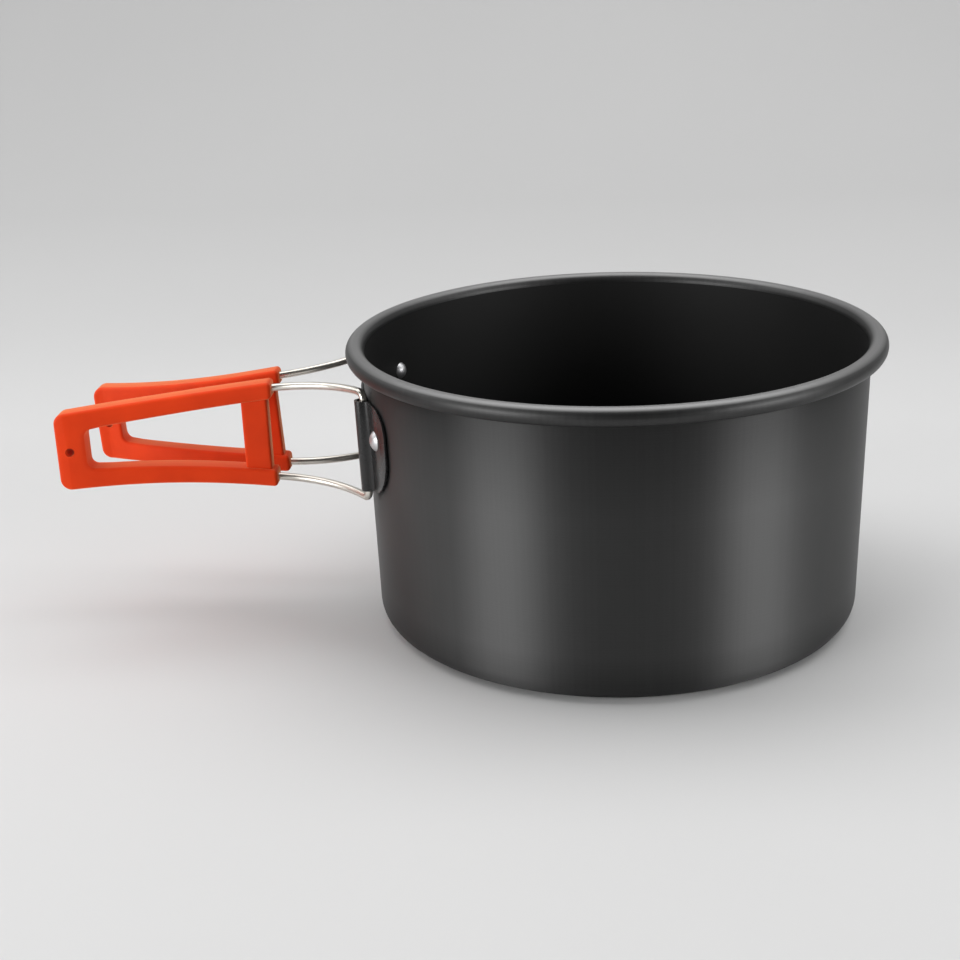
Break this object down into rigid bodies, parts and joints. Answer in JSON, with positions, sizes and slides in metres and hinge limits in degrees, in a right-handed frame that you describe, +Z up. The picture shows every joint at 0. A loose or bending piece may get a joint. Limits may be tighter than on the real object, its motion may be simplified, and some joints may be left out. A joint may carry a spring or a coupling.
{
  "type": "cooking pot",
  "caption": "Wide cooking pot with a rolled rim and curved wire handles with moulded grips, hinged on a riveted bracket so that they fold back round the wall.",
  "frame": {"origin": "on the pot's axis, on the underside of its flat base", "axes": "+Z up along the pot's axis, -X from the axis towards the handles, +Y to the left of a person who holds the handles"},
  "size_m": [0.2731, 0.178, 0.0966],
  "materials": {
    "pot": "hard anodised, dark grey, fine spun lines",
    "bracket": "black, satin",
    "rivet": "bright",
    "wire": "bright drawn wire",
    "grip": "orange-red silicone, matt"
  },
  "bodies": {
    "pot": {"pot_body": "pot", "handle_bracket": "bracket", "left_rivet": "rivet", "right_rivet": "rivet"},
    "left_handle": {"left_wire": "wire", "left_grip": "grip"},
    "right_handle": {"right_wire": "wire", "right_grip": "grip"}
  },
  "joints": [
    {"name": "left_handle_hinge", "type": "hinge", "parent": "pot", "child": "left_handle", "pos_m": [-0.08108, 0.02634, 0.0661], "axis": [0.0564, -0.0183, -0.9982], "range_deg": [-7, 135]},
    {"name": "right_handle_hinge", "type": "hinge", "parent": "pot", "child": "right_handle", "pos_m": [-0.08108, -0.02634, 0.0661], "axis": [-0.005, -0.0016, 1], "range_deg": [-7, 135]}
  ]
}
